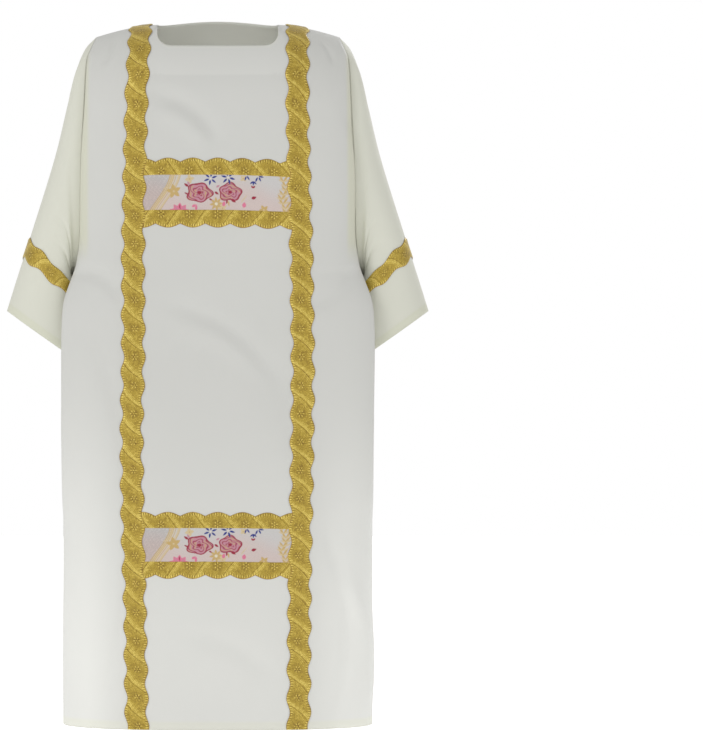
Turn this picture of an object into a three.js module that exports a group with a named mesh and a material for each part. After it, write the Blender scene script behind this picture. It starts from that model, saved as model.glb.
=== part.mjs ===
// A dalmatic, worn open with nobody in it: an ivory tunic with wide sleeves, gold galloon
// and floral brocade bands. Millimetres, +Z up, front faces -Y, "left" is the -X side.
// The origin is the middle of the neck opening, level with the top of the shoulders.
import * as THREE from 'three';

// ---- cloth and seams ----
const wall = 1.5;             // ivory cloth with its lining
const facingWall = 1.0;       // facing inside the neck
const trimWall = 1.2;         // galloon and brocade
const seamGap = 0.3;          // between pieces sewn edge to edge
const armholeGap = 0.6;       // the sleeve starts this far outside the armhole
const trimLift = 1.2;         // trim stands this far off the cloth it lies on
const bandLift = 1.3;         // the same on the round of a sleeve
const trimGap = 1.0;          // between two pieces of trim that meet

// ---- neck and shoulders ----
const neck = {
  half: 108,                  // the opening is 216 wide
  frontDrop: 44,
  corner: 25,
  napeReach: 0.4,             // share of the back's depth reached at the nape
  napeRise: 21.7,
  napeRound: 1.2,             // how soon that rise fades towards the neck's corners
};
const shoulder = { half: 217, drop: 22, bend: 1.6 };
const roll = { fall: 140, length: 204 };      // over the shoulder, down to full depth
const levelling = { from: 150, to: 450 };     // where the shoulder slope dies out
const napeLevelling = { from: 10, to: 210 };  // and where the rise at the nape does
const armhole = { fall: 446, depth: 77, square: 2.4 };
const hemFall = 1255;

// Half width, squareness of the section, hollow beside the arm, and front and back depth,
// by the fall below the shoulder line.
const bodySections = [
  { fall: 0, half: 217, square: 2.9, dent: 0, front: 106, back: 104 },
  { fall: 20, half: 225, square: 2.9, dent: 0, front: 109, back: 107 },
  { fall: 42, half: 233, square: 2.9, dent: 0, front: 112, back: 110 },
  { fall: 120, half: 237, square: 3.0, dent: 0, front: 118, back: 115 },
  { fall: 220, half: 242, square: 3.1, dent: 0, front: 125, back: 121 },
  { fall: 380, half: 246, square: 3.4, dent: 0, front: 130, back: 126 },
  { fall: 430, half: 252, square: 3.6, dent: 0.03, front: 131, back: 128 },
  { fall: 456, half: 260, square: 3.7, dent: 0.08, front: 132, back: 129 },
  { fall: 500, half: 274, square: 3.9, dent: 0.23, front: 133, back: 130 },
  { fall: 548, half: 278, square: 4.0, dent: 0.31, front: 134, back: 132 },
  { fall: 640, half: 278, square: 3.9, dent: 0.36, front: 137, back: 135 },
  { fall: 760, half: 278, square: 3.4, dent: 0.19, front: 141, back: 140 },
  { fall: 900, half: 278, square: 3.0, dent: 0.03, front: 145, back: 144 },
  { fall: 1060, half: 278, square: 2.8, dent: 0, front: 150, back: 149 },
  { fall: hemFall, half: 278, square: 2.7, dent: 0, front: 155, back: 154 },
];
const dentReach = 0.7;        // the hollow dies out at this share of the depth

// ---- sleeves: the line over the arm, the line under it, and half the depth between ----
const sleeveRings = [
  { along: 0, topX: 217, topZ: -22, underX: 243, underZ: -445, depth: 76.4 },
  { along: 0.05, topX: 236, topZ: -42, underX: 249, underZ: -447, depth: 76 },
  { along: 0.12, topX: 250, topZ: -76, underX: 254, underZ: -450, depth: 75 },
  { along: 0.24, topX: 267, topZ: -137, underX: 257, underZ: -454, depth: 74 },
  { along: 0.41, topX: 289, topZ: -222, underX: 258, underZ: -459, depth: 71 },
  { along: 0.58, topX: 314, topZ: -308, underX: 257, underZ: -464, depth: 67 },
  { along: 0.738, topX: 337, topZ: -385, underX: 253, underZ: -474, depth: 63 },
  { along: 0.81, topX: 348, topZ: -420, underX: 248, underZ: -505, depth: 62 },
  { along: 0.9, topX: 363, topZ: -466, underX: 233, underZ: -565, depth: 61 },
  { along: 1, topX: 379, topZ: -515, underX: 212, underZ: -632, depth: 60 },
];
const sleeveLength = 520;     // along the top line

// ---- galloon and brocade ----
const galloon = { half: 18.8, wave: 50, sway: 3.1 };
const clavusLine = [
  { fall: 0, left: 138, right: 143 },
  { fall: 150, left: 144, right: 141 },
  { fall: 400, left: 149, right: 147 },
  { fall: 600, left: 149, right: 150 },
  { fall: 740, left: 152, right: 149 },
  { fall: 1020, left: 147, right: 144 },
  { fall: hemFall, left: 142, right: 142 },
];
const swayPeakFall = 574;     // both clavi sway outwards here, and every wave from here
const bars = [
  { name: 'upper', top: 249, brocadeTop: 275, brocadeBottom: 340, bottom: 367 },
  { name: 'lower', top: 874, brocadeTop: 898, brocadeBottom: 960, bottom: 986 },
];
const scallop = { sway: 3 };
const sleeveBand = { upper: 0.738, lower: 0.81, waves: 11 };
const stepsPerWave = 2;        // the edges turn at the peaks of the waves

// ---- how finely the cloth is faceted ----
const panelColumns = 16;
const shoulderColumns = 3;    // of each half's columns, those that start on the shoulder
const cornerColumns = 2;      // and those that start on the side of the square neck
const rollRows = 7;
const chestRows = 6;
const skirtFalls = [472, 505, 560, 630, 700, 780, 880, 1060, hemFall];
const fanEndFall = 331;       // below this the columns are evenly spread
const facingColumn = 2;       // the facing starts at this column
const facingRows = 3;
const facingGap = 0.6;
const barColumns = 12;         // two to a scallop
const quarter = Math.PI / 2;

const colours = {
  cloth: { color: 0xefeee3, roughness: 0.75, metalness: 0 },
  facing: { color: 0xe9e8da, roughness: 0.85, metalness: 0 },
  galloon: { color: 0xb8984c, roughness: 0.45, metalness: 0.35 },
  brocade: { color: 0xe2cfc2, roughness: 0.6, metalness: 0.05 },
};

// ---- small helpers ----
const mix = (a, b, t) => a + (b - a) * t;
const clamp = (v, low, high) => Math.min(high, Math.max(low, v));

function ease(t) {
  const c = clamp(t, 0, 1);
  return c * c * (3 - 2 * c);
}

// Reads a column of a table at a place between its rows, with no kink at a row.
function read(table, key, column, at) {
  const last = table.length - 1;
  const place = clamp(at, table[0][key], table[last][key]);
  let i = 0;
  while (i < last - 1 && place > table[i + 1][key]) i += 1;
  const gap = table[i + 1][key] - table[i][key];
  const t = (place - table[i][key]) / gap;
  const slope = (k) => {
    const a = table[Math.max(k - 1, 0)];
    const b = table[Math.min(k + 1, last)];
    return (b[column] - a[column]) / (b[key] - a[key]);
  };
  const from = table[i][column];
  const rise = table[i + 1][column] - from;
  const m0 = slope(i) * gap;
  const m1 = slope(i + 1) * gap;
  return from + t * (m0 + t * (3 * rise - 2 * m0 - m1 + t * (m0 + m1 - 2 * rise)));
}

// ---- the body's surface ----
function fallAt(down) {
  if (down > roll.length) return roll.fall + down - roll.length;
  return roll.fall * (1 - Math.cos((down / roll.length) * quarter));
}

function downAt(fall) {
  if (fall > roll.fall) return roll.length + fall - roll.fall;
  return (roll.length * Math.acos(1 - fall / roll.fall)) / quarter;
}

function reachAt(down) {
  return down > roll.length ? 1 : Math.sin((down / roll.length) * quarter);
}

function armholeDepth(fall) {
  const off = Math.abs((2 * fall) / armhole.fall - 1);
  if (off >= 1) return 0;
  return armhole.depth * (1 - off ** armhole.square) ** (1 / armhole.square);
}

// The height that the shoulder slope and the nape still give the cloth at this fall.
function shoulderHeight(side, x, fall) {
  const left = (zone) => 1 - ease((fall - zone.from) / (zone.to - zone.from));
  const out = clamp((Math.abs(x) - neck.half) / (shoulder.half - neck.half), 0, 1);
  const slope = -shoulder.drop * out ** shoulder.bend * left(levelling);
  if (side < 0) return slope;
  const inside = Math.max(1 - (x / neck.half) ** 2, 0);
  return slope + neck.napeRise * inside ** neck.napeRound * left(napeLevelling);
}

const pinch = (out) => (out < dentReach ? (1 - (out / dentReach) ** 3) ** 2 : 0);

// The widest place of a section that is hollowed beside the arm.
function widest(square, dent) {
  let most = 0;
  for (let out = 0; out < 1; out += 0.02) {
    most = Math.max(most, (1 - out ** square) ** (1 / square) - dent * pinch(out));
  }
  return most;
}

// side -1 is the front and 1 the back; turn runs from -90 to 90 degrees across the panel,
// and down is the length of cloth from the shoulder seam.
function panelPoint(side, turn, down) {
  const fall = fallAt(down);
  const square = read(bodySections, 'fall', 'square', fall);
  const dent = read(bodySections, 'fall', 'dent', fall);
  const half = read(bodySections, 'fall', 'half', fall);
  const depth = read(bodySections, 'fall', side < 0 ? 'front' : 'back', fall) * reachAt(down);
  const s = Math.abs(Math.sin(turn));
  const c = Math.abs(Math.cos(turn));
  const size = (s ** square + c ** square) ** (-1 / square);
  const edge = armholeDepth(fall);
  const x = (Math.sign(turn) * half * (s * size - dent * pinch(c * size))) / widest(square, dent);
  const y = side * (seamGap / 2 + edge + (depth - edge) * c * size);
  return new THREE.Vector3(x, y, shoulderHeight(side, x, fall) - fall);
}

// The turn at which the panel is x from the middle, anywhere inside the hollows.
function turnAt(x, down) {
  const fall = fallAt(down);
  const square = read(bodySections, 'fall', 'square', fall);
  const dent = read(bodySections, 'fall', 'dent', fall);
  const k = clamp((Math.abs(x) * widest(square, dent)) / read(bodySections, 'fall', 'half', fall), 0, 1);
  if (k === 1) return Math.sign(x) * quarter;
  return Math.sign(x) * Math.atan(k / (1 - k ** square) ** (1 / square));
}

function panelSpot(side, turn, down, lift) {
  const t = clamp(turn, -quarter + 0.02, quarter - 0.02);
  const d = Math.max(down, 3);
  const across = panelPoint(side, t + 0.01, d).sub(panelPoint(side, t - 0.01, d));
  const along = panelPoint(side, t, d + 1).sub(panelPoint(side, t, d - 1));
  const normal = across.cross(along).multiplyScalar(side).normalize();
  return panelPoint(side, turn, down).addScaledVector(normal, lift);
}

// ---- the sleeve's surface ----
// The ring angle at which the sleeve meets the armhole at a given fall.
function ringAngle(fall) {
  const c = 1 - (2 * fall) / armhole.fall;
  const d = Math.max(0, 1 - Math.abs(c) ** armhole.square) ** (1 / armhole.square);
  return Math.atan2(d, c);
}

// hand -1 is the left sleeve; angle runs round from the top of the arm by the front.
function sleevePoint(hand, angle, along) {
  const get = (column) => read(sleeveRings, 'along', column, along);
  const n = armhole.square;
  const size = (Math.abs(Math.cos(angle)) ** n + Math.abs(Math.sin(angle)) ** n) ** (-1 / n);
  const c = Math.cos(angle) * size;
  const share = (1 + c) / 2;
  const fall = (armhole.fall * (1 - c)) / 2;
  const seam = (1 - along) ** 3;
  const first = sleeveRings[0];
  const edge = panelPoint(-1, quarter, downAt(fall));
  const bowX = edge.x - mix(first.underX, first.topX, share);
  const bowZ = edge.z - mix(first.underZ, first.topZ, share);
  const x = mix(get('underX'), get('topX'), share) + (bowX + armholeGap) * seam;
  const z = mix(get('underZ'), get('topZ'), share) + bowZ * seam;
  return new THREE.Vector3(hand * x, -get('depth') * Math.sin(angle) * size, z);
}

function sleeveSpot(hand, angle, along, lift) {
  const a = clamp(along, 0.012, 0.99);
  const round = sleevePoint(hand, angle + 0.02, a).sub(sleevePoint(hand, angle - 0.02, a));
  const down = sleevePoint(hand, angle, a + 0.01).sub(sleevePoint(hand, angle, a - 0.01));
  const normal = down.cross(round).multiplyScalar(-hand).normalize();
  const point = sleevePoint(hand, angle, along);
  const spot = point.clone().addScaledVector(normal, lift);
  if (along === 0) spot.x = point.x;      // the edge at the armhole is cut square
  return spot;
}

// ---- closed walls ----
// Makes a wall from two grids of points, outer and inner, each a list of rows.
function wallGeometry(outer, inner, ring) {
  const rows = outer.length;
  const columns = outer[0].length;
  const positions = [...outer.flat(), ...inner.flat()].flatMap((p) => [p.x, p.y, p.z]);
  const id = (layer, r, c) => (layer * rows + r) * columns + (c % columns);
  const index = [];
  const quad = (a, b, c, d) => index.push(a, b, c, a, c, d);
  const spans = ring ? columns : columns - 1;
  for (let r = 0; r < rows - 1; r += 1) {
    for (let c = 0; c < spans; c += 1) {
      quad(id(0, r, c), id(0, r + 1, c), id(0, r + 1, c + 1), id(0, r, c + 1));
      quad(id(1, r, c), id(1, r, c + 1), id(1, r + 1, c + 1), id(1, r + 1, c));
    }
  }
  for (let c = 0; c < spans; c += 1) {
    quad(id(0, 0, c), id(0, 0, c + 1), id(1, 0, c + 1), id(1, 0, c));
    quad(id(0, rows - 1, c), id(1, rows - 1, c), id(1, rows - 1, c + 1), id(0, rows - 1, c + 1));
  }
  for (let r = 0; r < rows - 1 && !ring; r += 1) {
    const end = columns - 1;
    quad(id(0, r, 0), id(1, r, 0), id(1, r + 1, 0), id(0, r + 1, 0));
    quad(id(0, r, end), id(0, r + 1, end), id(1, r + 1, end), id(1, r, end));
  }
  const geometry = new THREE.BufferGeometry();
  geometry.setAttribute('position', new THREE.Float32BufferAttribute(positions, 3));
  geometry.setIndex(volumeOf(positions, index) < 0 ? index.reverse() : index);
  geometry.computeVertexNormals();
  return geometry;
}

function volumeOf(positions, index) {
  const point = (i) => new THREE.Vector3().fromArray(positions, index[i] * 3);
  let volume = 0;
  for (let i = 0; i < index.length; i += 3) {
    volume += point(i).dot(point(i + 1).cross(point(i + 2))) / 6;
  }
  return volume;
}

// ---- front and back panels ----
function rowDowns() {
  const downs = [];
  for (let i = 0; i <= rollRows; i += 1) downs.push((roll.length * i) / rollRows);
  for (let i = 1; i <= chestRows; i += 1) {
    const share = Math.sin((i / chestRows) * quarter);
    downs.push(downAt(mix(roll.fall, armhole.fall, share)));
  }
  for (const fall of skirtFalls) downs.push(downAt(fall));
  return downs;
}

// Where a half's columns start: along the shoulder, then along the neck to the middle.
function topEdge(side, column) {
  if (column <= shoulderColumns) {
    const x = mix(shoulder.half, neck.half, column / shoulderColumns);
    return { x, fall: 0 };
  }
  const left = panelColumns / 2 - shoulderColumns;
  const step = column - shoulderColumns;
  if (side > 0) {
    const u = 1 - step / left;
    const napeFall = roll.fall * (1 - Math.sqrt(1 - neck.napeReach ** 2));
    return { x: neck.half * u, fall: napeFall * (1 - u * u) };
  }
  const straight = neck.frontDrop - neck.corner;
  if (step < cornerColumns) {
    const length = ((straight + quarter * neck.corner) * step) / cornerColumns;
    const bend = Math.max(0, length - straight) / neck.corner;
    const x = neck.half - neck.corner * (1 - Math.cos(bend));
    return { x, fall: Math.min(length, straight) + neck.corner * Math.sin(bend) };
  }
  const share = (step - cornerColumns) / (left - cornerColumns);
  return { x: mix(neck.half - neck.corner, 0, share), fall: neck.frontDrop };
}

// The turn and the length down of every crossing of a panel's rows and columns.
function panelGrid(side) {
  const half = panelColumns / 2;
  const fanEnd = downAt(fanEndFall);
  return rowDowns().map((rowDown) => {
    const row = [];
    for (let i = 0; i <= panelColumns; i += 1) {
      const column = Math.min(i, panelColumns - i);
      const top = topEdge(side, column);
      const topDown = downAt(top.fall);
      const down = rowDown < fanEnd ? topDown + rowDown * (1 - topDown / fanEnd) : rowDown;
      const fan = ease(rowDown / fanEnd);
      const turn = mix(turnAt(top.x, topDown), quarter * (1 - column / half), fan);
      row.push({ turn: turn * Math.sign(i - half), down });
    }
    return row;
  });
}

function panelWall(side, grid, lift, thickness) {
  const layer = (out) => grid.map((row) => row.map((at) => panelSpot(side, at.turn, at.down, out)));
  return wallGeometry(layer(lift), layer(lift - thickness), false);
}

function facingWallOf(side) {
  const end = panelColumns + 1 - facingColumn;
  const grid = panelGrid(side).slice(0, facingRows + 1).map((row) => row.slice(facingColumn, end));
  return panelWall(side, grid, -(wall + facingGap), facingWall);
}

// ---- sleeves, joined to the armhole row by row ----
function sleeveAngles() {
  const downs = rowDowns().filter((down) => down <= downAt(armhole.fall) + 0.01);
  const front = downs.map((down) => ringAngle(fallAt(down)));
  const back = front.slice(1, -1).reverse().map((angle) => 2 * Math.PI - angle);
  return [...front, ...back];
}

function sleeveWall(hand) {
  const layer = (lift) => sleeveRings.map((ring) => (
    sleeveAngles().map((angle) => sleeveSpot(hand, angle, ring.along, lift))
  ));
  return wallGeometry(layer(0), layer(-wall), true);
}

function sleeveBandWall(hand) {
  const angles = sleeveAngles().flatMap((angle, i, all) => {
    const next = i + 1 < all.length ? all[i + 1] : 2 * Math.PI;
    return [angle, (angle + next) / 2];
  });
  const sway = (i) => {
    const phase = (2 * Math.PI * sleeveBand.waves * i) / angles.length;
    return (galloon.sway * Math.cos(phase)) / sleeveLength;
  };
  const layer = (lift) => [sleeveBand.upper, sleeveBand.lower].map((along) => (
    angles.map((angle, i) => sleeveSpot(hand, angle, along + sway(i), lift))
  ));
  return wallGeometry(layer(bandLift + trimWall), layer(bandLift), true);
}

// ---- galloon and brocade on the panels ----
const clavusReach = galloon.half + galloon.sway + trimGap;

function clavusMiddle(hand, down) {
  return read(clavusLine, 'fall', hand < 0 ? 'left' : 'right', fallAt(down));
}

function clavusX(hand, down) {
  const phase = (2 * Math.PI * (down - downAt(swayPeakFall))) / galloon.wave;
  return hand * (clavusMiddle(hand, down) + galloon.sway * Math.cos(phase));
}

function trimWallOf(grid) {
  const layer = (lift) => grid.map((row) => row.map(({ side, x, down }) => (
    panelSpot(side, turnAt(x, down), down, lift)
  )));
  return wallGeometry(layer(trimLift + trimWall), layer(trimLift), false);
}

// One strip from the front hem over the shoulder to the back hem.
function clavusWall(hand) {
  const end = downAt(hemFall);
  const steps = 2 * Math.round((end * stepsPerWave) / galloon.wave);
  const grid = [];
  for (let i = 0; i <= steps; i += 1) {
    const signed = mix(-end, end, i / steps);
    const side = signed < 0 ? -1 : 1;
    const down = Math.abs(signed);
    const x = clavusX(hand, down);
    grid.push([-1, 1].map((edge) => ({ side, x: x + edge * galloon.half, down })));
  }
  return trimWallOf(grid);
}

// A piece of a crossbar between the clavi, with either edge scalloped.
function barWall(side, piece) {
  const upper = downAt(piece.from);
  const lower = downAt(piece.to);
  const edgeAt = (hand, down) => hand * (clavusMiddle(hand, down) - clavusReach);
  const row = (down, sway) => {
    const cells = [];
    for (let i = 0; i <= barColumns; i += 1) {
      const x = mix(edgeAt(-1, down), edgeAt(1, down), i / barColumns);
      const shift = sway * Math.cos(Math.PI * i);
      cells.push({ side, x, down: down + shift });
    }
    return cells;
  };
  return trimWallOf([row(upper, piece.upperSway), row(lower, piece.lowerSway)]);
}

function barPieces(bar) {
  const gap = trimGap / 2;
  return [
    { name: 'top_galloon', from: bar.top, to: bar.brocadeTop - gap,
      upperSway: -scallop.sway, lowerSway: 0, look: 'galloon' },
    { name: 'brocade', from: bar.brocadeTop + gap, to: bar.brocadeBottom - gap,
      upperSway: 0, lowerSway: 0, look: 'brocade' },
    { name: 'bottom_galloon', from: bar.brocadeBottom + gap, to: bar.bottom,
      upperSway: 0, lowerSway: scallop.sway, look: 'galloon' },
  ];
}

// ---- the garment ----
const garment = new THREE.Group();

function add(name, geometry, look) {
  const mesh = new THREE.Mesh(geometry, new THREE.MeshStandardMaterial(colours[look]));
  mesh.name = name;
  garment.add(mesh);
}

for (const [sideName, side] of [['front', -1], ['back', 1]]) {
  add(`${sideName}_panel`, panelWall(side, panelGrid(side), 0, wall), 'cloth');
  add(`neck_facing_${sideName}`, facingWallOf(side), 'facing');
  for (const bar of bars) {
    for (const piece of barPieces(bar)) {
      add(`${sideName}_${bar.name}_${piece.name}`, barWall(side, piece), piece.look);
    }
  }
}

for (const [handName, hand] of [['left', -1], ['right', 1]]) {
  add(`sleeve_${handName}`, sleeveWall(hand), 'cloth');
  add(`sleeve_band_${handName}`, sleeveBandWall(hand), 'galloon');
  add(`clavus_${handName}`, clavusWall(hand), 'galloon');
}

export default garment;
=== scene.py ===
import bpy
import bmesh
import math
import numpy as np
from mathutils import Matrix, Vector


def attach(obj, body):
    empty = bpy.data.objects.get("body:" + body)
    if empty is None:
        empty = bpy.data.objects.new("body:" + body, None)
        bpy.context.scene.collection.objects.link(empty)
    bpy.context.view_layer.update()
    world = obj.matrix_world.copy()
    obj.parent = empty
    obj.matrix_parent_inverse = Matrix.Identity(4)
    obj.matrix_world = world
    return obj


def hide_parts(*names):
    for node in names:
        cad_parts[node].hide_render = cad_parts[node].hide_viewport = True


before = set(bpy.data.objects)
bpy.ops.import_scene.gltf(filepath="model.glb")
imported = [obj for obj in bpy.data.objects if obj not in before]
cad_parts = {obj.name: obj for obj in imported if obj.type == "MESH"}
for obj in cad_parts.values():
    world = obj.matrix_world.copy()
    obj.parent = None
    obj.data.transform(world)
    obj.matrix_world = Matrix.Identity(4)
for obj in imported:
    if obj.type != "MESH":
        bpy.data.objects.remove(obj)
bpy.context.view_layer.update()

# metres; the front faces -Y, the left is the -X side, z is 0 on top of the shoulders
quarter = math.pi / 2
hands = (("left", -1), ("right", 1))
sides = (("front", -1), ("back", 1))


# tables read as smooth curves

def ease(t):
    t = np.clip(t, 0.0, 1.0)
    return t * t * (3 - 2 * t)


def readTable(table, key, column, at):
    keys = np.array([row[key] for row in table], float)
    values = np.array([row[column] for row in table], float)
    last = len(keys) - 1
    before = np.maximum(np.arange(last + 1) - 1, 0)
    after = np.minimum(np.arange(last + 1) + 1, last)
    slopes = (values[after] - values[before]) / (keys[after] - keys[before])
    place = np.clip(np.asarray(at, float), keys[0], keys[-1])
    i = np.clip(np.searchsorted(keys, place, side="right") - 1, 0, last - 1)
    gap = keys[i + 1] - keys[i]
    t = (place - keys[i]) / gap
    rise = values[i + 1] - values[i]
    m0, m1 = slopes[i] * gap, slopes[i + 1] * gap
    return values[i] + t * (m0 + t * (3 * rise - 2 * m0 - m1 + t * (m0 + m1 - 2 * rise)))


# the cut and the form, the same sizes as the solids

neck = {"half": 0.108, "frontDrop": 0.044, "corner": 0.025, "napeReach": 0.4,
        "napeRise": 0.0217, "napeRound": 1.2}
shoulder = {"half": 0.217, "drop": 0.022, "bend": 1.6}
roll = {"fall": 0.140, "length": 0.204}
slopeEnds = (0.150, 0.450)
napeEnds = (0.010, 0.210)
armhole = {"fall": 0.446, "depth": 0.077, "square": 2.4}
hemFall = 1.255
dentReach = 0.7

bodySections = [
    dict(fall=0.000, half=0.217, square=2.9, dent=0.00, front=0.106, back=0.104),
    dict(fall=0.020, half=0.225, square=2.9, dent=0.00, front=0.109, back=0.107),
    dict(fall=0.042, half=0.233, square=2.9, dent=0.00, front=0.112, back=0.110),
    dict(fall=0.120, half=0.237, square=3.0, dent=0.00, front=0.118, back=0.115),
    dict(fall=0.220, half=0.242, square=3.1, dent=0.00, front=0.125, back=0.121),
    dict(fall=0.380, half=0.246, square=3.4, dent=0.00, front=0.130, back=0.126),
    dict(fall=0.430, half=0.252, square=3.6, dent=0.03, front=0.131, back=0.128),
    dict(fall=0.456, half=0.260, square=3.7, dent=0.08, front=0.132, back=0.129),
    dict(fall=0.500, half=0.274, square=3.9, dent=0.23, front=0.133, back=0.130),
    dict(fall=0.548, half=0.278, square=4.0, dent=0.31, front=0.134, back=0.132),
    dict(fall=0.640, half=0.278, square=3.9, dent=0.36, front=0.137, back=0.135),
    dict(fall=0.760, half=0.278, square=3.4, dent=0.19, front=0.141, back=0.140),
    dict(fall=0.900, half=0.278, square=3.0, dent=0.03, front=0.145, back=0.144),
    dict(fall=1.060, half=0.278, square=2.8, dent=0.00, front=0.150, back=0.149),
    dict(fall=hemFall, half=0.278, square=2.7, dent=0.00, front=0.155, back=0.154),
]

sleeveRings = [
    dict(along=0.000, topX=0.217, topZ=-0.022, underX=0.243, underZ=-0.445, depth=0.0764),
    dict(along=0.050, topX=0.236, topZ=-0.042, underX=0.249, underZ=-0.447, depth=0.0760),
    dict(along=0.120, topX=0.250, topZ=-0.076, underX=0.254, underZ=-0.450, depth=0.0750),
    dict(along=0.240, topX=0.267, topZ=-0.137, underX=0.257, underZ=-0.454, depth=0.0740),
    dict(along=0.410, topX=0.289, topZ=-0.222, underX=0.258, underZ=-0.459, depth=0.0710),
    dict(along=0.580, topX=0.314, topZ=-0.308, underX=0.257, underZ=-0.464, depth=0.0670),
    dict(along=0.738, topX=0.337, topZ=-0.385, underX=0.253, underZ=-0.474, depth=0.0630),
    dict(along=0.810, topX=0.348, topZ=-0.420, underX=0.248, underZ=-0.505, depth=0.0620),
    dict(along=0.900, topX=0.363, topZ=-0.466, underX=0.233, underZ=-0.565, depth=0.0610),
    dict(along=1.000, topX=0.379, topZ=-0.515, underX=0.212, underZ=-0.632, depth=0.0600),
]
sleeveLength = 0.520

# soft creases: ends as x and fall, then how deep and how wide; deep below zero is a ridge
frontCreases = [
    dict(x0=-0.118, f0=0.130, x1=0.002, f1=0.212, deep=0.0030, wide=0.016),
    dict(x0=-0.098, f0=0.160, x1=-0.020, f1=0.222, deep=-0.0022, wide=0.020),
    dict(x0=-0.085, f0=0.505, x1=0.092, f1=0.622, deep=0.0024, wide=0.014),
    dict(x0=-0.070, f0=0.540, x1=0.100, f1=0.655, deep=-0.0018, wide=0.018),
    dict(x0=0.070, f0=0.600, x1=0.150, f1=0.760, deep=0.0030, wide=0.034),
    dict(x0=0.225, f0=0.130, x1=0.250, f1=0.380, deep=0.0024, wide=0.012),
    dict(x0=-0.050, f0=1.085, x1=0.095, f1=1.160, deep=0.0022, wide=0.020),
    dict(x0=0.222, f0=0.980, x1=0.258, f1=1.240, deep=-0.0036, wide=0.016),
    dict(x0=0.190, f0=0.900, x1=0.205, f1=1.250, deep=0.0024, wide=0.014),
    dict(x0=-0.215, f0=0.560, x1=-0.225, f1=1.250, deep=0.0026, wide=0.016),
    dict(x0=-0.182, f0=0.016, x1=-0.205, f1=0.060, deep=0.0020, wide=0.006),
    dict(x0=0.182, f0=0.018, x1=0.206, f1=0.058, deep=0.0018, wide=0.006),
    dict(x0=-0.246, f0=0.440, x1=-0.165, f1=0.500, deep=0.0026, wide=0.012),
    dict(x0=0.246, f0=0.440, x1=0.170, f1=0.510, deep=0.0026, wide=0.012),
]
backCreases = [
    dict(x0=-0.110, f0=0.135, x1=0.010, f1=0.205, deep=0.0030, wide=0.016),
    dict(x0=-0.080, f0=0.515, x1=0.075, f1=0.600, deep=0.0024, wide=0.015),
    dict(x0=0.070, f0=0.590, x1=0.185, f1=0.770, deep=0.0030, wide=0.034),
    dict(x0=-0.228, f0=0.150, x1=-0.240, f1=0.390, deep=0.0022, wide=0.012),
    dict(x0=0.020, f0=1.060, x1=0.110, f1=1.150, deep=0.0020, wide=0.020),
    dict(x0=-0.220, f0=0.960, x1=-0.240, f1=1.250, deep=-0.0032, wide=0.016),
    dict(x0=0.215, f0=0.600, x1=0.222, f1=1.250, deep=0.0026, wide=0.016),
    dict(x0=0.246, f0=0.440, x1=0.165, f1=0.500, deep=0.0026, wide=0.012),
    dict(x0=-0.246, f0=0.440, x1=-0.170, f1=0.510, deep=0.0026, wide=0.012),
]


def fallAt(down):
    down = np.asarray(down, float)
    rolled = roll["fall"] * (1 - np.cos(np.minimum(down / roll["length"], 1) * quarter))
    return np.where(down > roll["length"], roll["fall"] + down - roll["length"], rolled)


def downAt(fall):
    fall = np.asarray(fall, float)
    rolled = roll["length"] * np.arccos(1 - np.minimum(fall / roll["fall"], 1)) / quarter
    return np.where(fall > roll["fall"], roll["length"] + fall - roll["fall"], rolled)


def armholeDepth(fall):
    off = np.minimum(np.abs(2 * fall / armhole["fall"] - 1), 1)
    return armhole["depth"] * (1 - off ** armhole["square"]) ** (1 / armhole["square"])


def shoulderHeight(side, x, fall):
    def left(ends):
        return 1 - ease((fall - ends[0]) / (ends[1] - ends[0]))
    out = np.clip((np.abs(x) - neck["half"]) / (shoulder["half"] - neck["half"]), 0, 1)
    slope = -shoulder["drop"] * out ** shoulder["bend"] * left(slopeEnds)
    if side < 0:
        return slope
    inside = np.maximum(1 - (x / neck["half"]) ** 2, 0)
    return slope + neck["napeRise"] * inside ** neck["napeRound"] * left(napeEnds)


def pinch(out):
    return np.where(out < dentReach, (1 - np.minimum(out / dentReach, 1) ** 3) ** 2, 0)


def widest(square, dent):
    most = np.zeros_like(square)
    for out in np.arange(0, 1, 0.02):
        most = np.maximum(most, (1 - out ** square) ** (1 / square) - dent * pinch(out))
    return most


def panelPoint(side, turn, down):
    fall = fallAt(down)
    square = readTable(bodySections, "fall", "square", fall)
    dent = readTable(bodySections, "fall", "dent", fall)
    half = readTable(bodySections, "fall", "half", fall)
    reach = np.where(down > roll["length"], 1, np.sin(np.minimum(down / roll["length"], 1) * quarter))
    depth = readTable(bodySections, "fall", "front" if side < 0 else "back", fall) * reach
    s, c = np.abs(np.sin(turn)), np.abs(np.cos(turn))
    size = (s ** square + c ** square) ** (-1 / square)
    edge = armholeDepth(fall)
    x = np.sign(turn) * half * (s * size - dent * pinch(c * size)) / widest(square, dent)
    y = side * (0.00015 + edge + (depth - edge) * c * size)
    return np.stack([x, y, shoulderHeight(side, x, fall) - fall], axis=-1)


def turnAt(x, down):
    fall = fallAt(down)
    square = readTable(bodySections, "fall", "square", fall)
    dent = readTable(bodySections, "fall", "dent", fall)
    k = np.abs(x) * widest(square, dent) / readTable(bodySections, "fall", "half", fall)
    k = np.clip(k, 0, 0.99999)
    return np.sign(x) * np.arctan(k / (1 - k ** square) ** (1 / square))


def unit(v):
    return v / np.maximum(np.linalg.norm(v, axis=-1, keepdims=True), 1e-12)


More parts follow.
